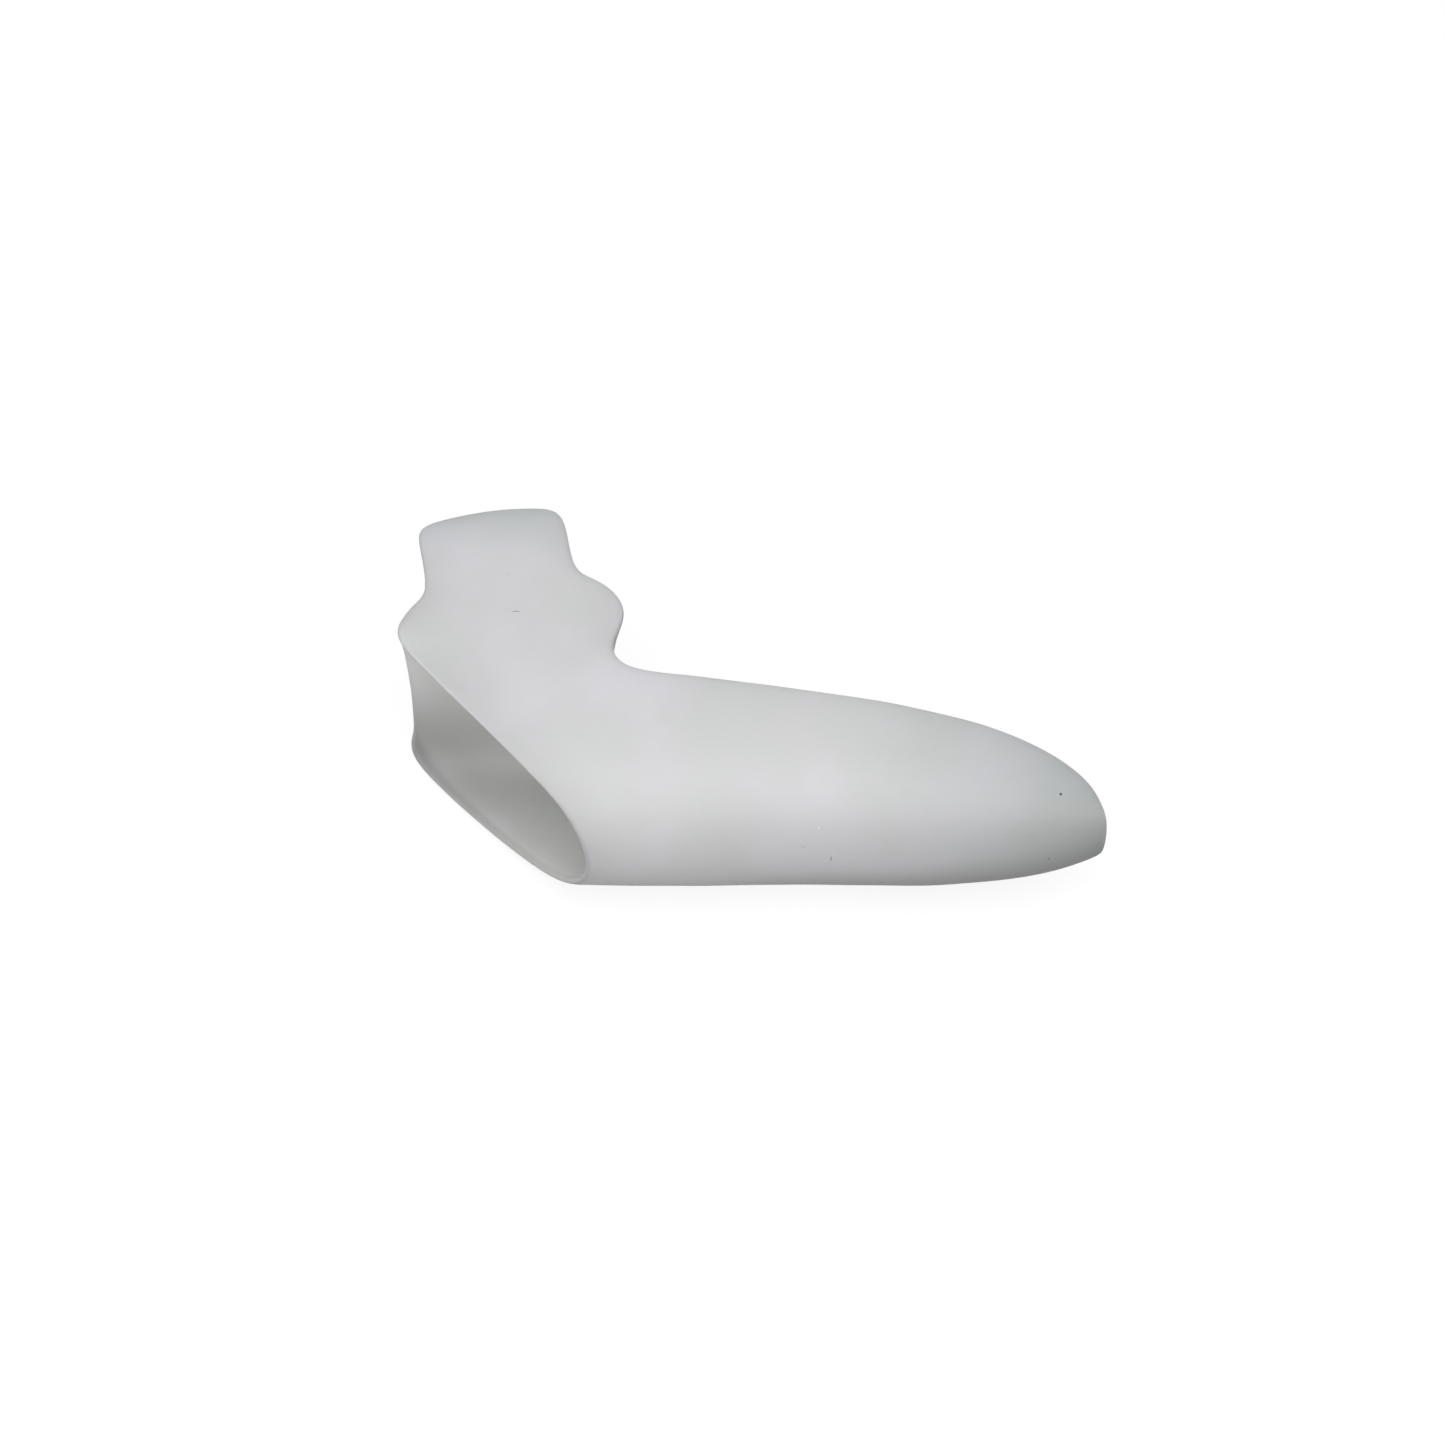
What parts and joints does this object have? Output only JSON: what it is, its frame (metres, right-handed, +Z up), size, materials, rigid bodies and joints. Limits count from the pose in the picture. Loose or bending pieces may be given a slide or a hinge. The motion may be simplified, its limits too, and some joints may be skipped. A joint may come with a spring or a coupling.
{
  "type": "bunion toe sleeve",
  "caption": "Soft translucent gel sleeve: a short ring for the big toe, a solid toe spacer on one side of it and a long open trough that covers the bunion.",
  "frame": {"origin": "middle of the footprint, on the surface the sleeve lies on", "axes": "+X from the toe end towards the heel, +Y from the bunion side towards the second toe, +Z up"},
  "size_m": [0.0724, 0.0384, 0.0218],
  "materials": {
    "gel": "satin, milky and slightly translucent"
  },
  "bodies": {
    "root": {"toe_sleeve": "gel"}
  },
  "joints": []
}
